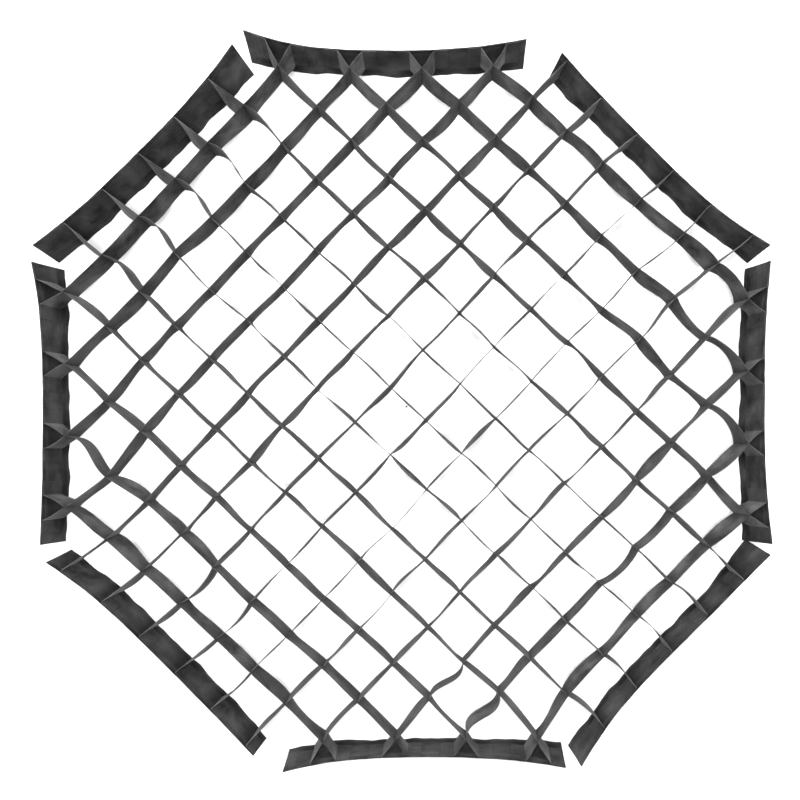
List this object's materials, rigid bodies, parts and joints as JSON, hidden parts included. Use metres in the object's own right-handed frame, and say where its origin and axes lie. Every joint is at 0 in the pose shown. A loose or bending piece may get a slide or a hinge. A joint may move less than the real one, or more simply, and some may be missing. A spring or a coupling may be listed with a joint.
{
  "type": "softbox honeycomb grid",
  "caption": "Black fabric egg-crate grid for an eight-sided softbox, with hook-tape borders, that folds in half for storage.",
  "frame": {"origin": "centre of the grid in the plane of the border bands' lower edges, which it stands on", "axes": "+Z through the grid's depth, out of its top face; +X along the fourteen long ribbons and along the fold; +Y along the cross ribbons"},
  "size_m": [0.8, 0.8, 0.05],
  "materials": {
    "ribbon_fabric": "black woven nylon, slightly shiny",
    "band_fabric": "black woven nylon, doubled and hemmed",
    "hook_tape": "black hook tape, coarse and matt"
  },
  "bodies": {
    "fixed_half": {"long_ribbon_01": "ribbon_fabric", "long_ribbon_02": "ribbon_fabric", "long_ribbon_03": "ribbon_fabric", "long_ribbon_04": "ribbon_fabric", "long_ribbon_05": "ribbon_fabric", "long_ribbon_06": "ribbon_fabric", "long_ribbon_07": "ribbon_fabric", "cross_ribbon_01_front_half": "ribbon_fabric", "cross_ribbon_02_front_half": "ribbon_fabric", "cross_ribbon_03_front_half": "ribbon_fabric", "cross_ribbon_04_front_half": "ribbon_fabric", "cross_ribbon_05_front_half": "ribbon_fabric", "cross_ribbon_06_front_half": "ribbon_fabric", "cross_ribbon_07_front_half": "ribbon_fabric", "cross_ribbon_08_front_half": "ribbon_fabric", "cross_ribbon_09_front_half": "ribbon_fabric", "cross_ribbon_10_front_half": "ribbon_fabric", "cross_ribbon_11_front_half": "ribbon_fabric", "cross_ribbon_12_front_half": "ribbon_fabric", "cross_ribbon_13_front_half": "ribbon_fabric", "front_band": "band_fabric", "front_hook_tape": "hook_tape", "front_left_band": "band_fabric", "front_left_hook_tape": "hook_tape", "front_right_band": "band_fabric", "front_right_hook_tape": "hook_tape", "right_band_front_half": "band_fabric", "right_hook_tape_front_half": "hook_tape", "left_band_front_half": "band_fabric", "left_hook_tape_front_half": "hook_tape"},
    "folding_half": {"long_ribbon_08": "ribbon_fabric", "long_ribbon_09": "ribbon_fabric", "long_ribbon_10": "ribbon_fabric", "long_ribbon_11": "ribbon_fabric", "long_ribbon_12": "ribbon_fabric", "long_ribbon_13": "ribbon_fabric", "long_ribbon_14": "ribbon_fabric", "cross_ribbon_01_back_half": "ribbon_fabric", "cross_ribbon_02_back_half": "ribbon_fabric", "cross_ribbon_03_back_half": "ribbon_fabric", "cross_ribbon_04_back_half": "ribbon_fabric", "cross_ribbon_05_back_half": "ribbon_fabric", "cross_ribbon_06_back_half": "ribbon_fabric", "cross_ribbon_07_back_half": "ribbon_fabric", "cross_ribbon_08_back_half": "ribbon_fabric", "cross_ribbon_09_back_half": "ribbon_fabric", "cross_ribbon_10_back_half": "ribbon_fabric", "cross_ribbon_11_back_half": "ribbon_fabric", "cross_ribbon_12_back_half": "ribbon_fabric", "cross_ribbon_13_back_half": "ribbon_fabric", "back_band": "band_fabric", "back_hook_tape": "hook_tape", "back_left_band": "band_fabric", "back_left_hook_tape": "hook_tape", "back_right_band": "band_fabric", "back_right_hook_tape": "hook_tape", "right_band_back_half": "band_fabric", "right_hook_tape_back_half": "hook_tape", "left_band_back_half": "band_fabric", "left_hook_tape_back_half": "hook_tape"}
  },
  "joints": [
    {"name": "storage_fold", "type": "hinge", "parent": "fixed_half", "child": "folding_half", "pos_m": [0, 0, 0.0505], "axis": [1, 0, 0], "range_deg": [0, 180]}
  ]
}
